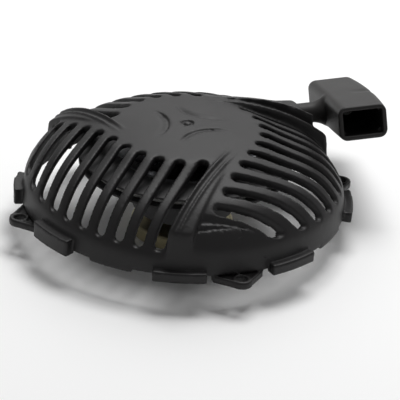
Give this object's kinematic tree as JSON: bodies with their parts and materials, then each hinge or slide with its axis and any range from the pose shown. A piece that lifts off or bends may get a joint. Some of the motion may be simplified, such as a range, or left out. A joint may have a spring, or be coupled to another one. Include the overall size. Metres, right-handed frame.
{
  "type": "recoil starter",
  "caption": "Round vented recoil starter housing with a rope pulley, rewind spring, swing-out drive pawls and a hollow D-section pull grip, bolted on by ears round the rim.",
  "frame": {"origin": "crank axis, at the face of the ears that bolts down", "axes": "+Z along the crank axis and away from the engine; +X to the right, roughly where the rope leaves; -Y to the front"},
  "size_m": [0.218, 0.2209, 0.0752],
  "materials": {
    "housing_plastic": "dark grey moulded nylon, fine matt grain",
    "grip_plastic": "black moulded plastic, satin",
    "pulley_plastic": "pale grey glass-filled nylon, matt",
    "plated_steel": "bright zinc plate",
    "yellow_zinc": "yellow passivated zinc plate",
    "spring_steel": "blued spring strip",
    "pawl_steel": "sintered steel, oiled",
    "rope_braid": "braided polyester cord"
  },
  "bodies": {
    "housing": {"housing": "housing_plastic", "rope_eyelet": "plated_steel", "post_insert": "yellow_zinc", "post_sleeve": "plated_steel", "centre_screw": "plated_steel", "screw_washer": "plated_steel", "friction_spring": "spring_steel", "rope_run": "rope_braid"},
    "pulley": {"pulley": "pulley_plastic", "spring_cup": "plated_steel", "rewind_spring": "spring_steel", "spring_cover": "plated_steel", "cover_screws": "plated_steel", "pawl_pins": "plated_steel", "rope_wound": "rope_braid", "pulley_knot": "rope_braid"},
    "friction_plate": {"friction_plate": "yellow_zinc"},
    "pawl_a": {"pawl_a": "pawl_steel"},
    "pawl_b": {"pawl_b": "pawl_steel"},
    "handle": {"pull_handle": "grip_plastic", "knot_washer": "plated_steel", "handle_knot": "rope_braid", "rope_lead": "rope_braid"}
  },
  "joints": [
    {"name": "pulley_spin", "type": "hinge", "parent": "housing", "child": "pulley", "pos_m": [0, 0, 0.03], "axis": [0, 0, 1], "range_deg": [-1146, 0], "stiffness_Nm_per_rad": 0.02, "springref_deg": 687.55},
    {"name": "handle_pull", "type": "slide", "parent": "housing", "child": "handle", "axis": [0.9766, 0.1898, 0.1011], "range_m": [0, 1.001]},
    {"name": "plate_slip", "type": "hinge", "parent": "pulley", "child": "friction_plate", "pos_m": [0, 0, -0.01], "axis": [0, 0, 1], "range_deg": [0, 28]},
    {"name": "pawl_a_swing", "type": "hinge", "parent": "pulley", "child": "pawl_a", "pos_m": [0.017, 0, -0.003], "axis": [0, 0, 1], "range_deg": [0, 35]},
    {"name": "pawl_b_swing", "type": "hinge", "parent": "pulley", "child": "pawl_b", "pos_m": [-0.017, 0, -0.003], "axis": [0, 0, 1], "range_deg": [0, 35]}
  ],
  "couplings": [
    {"joint": "handle_pull", "follows": "pulley_spin", "m_per_rad": -0.05},
    {"joint": "pawl_a_swing", "follows": "plate_slip", "ratio": 1.25},
    {"joint": "pawl_b_swing", "follows": "plate_slip", "ratio": 1.25}
  ]
}
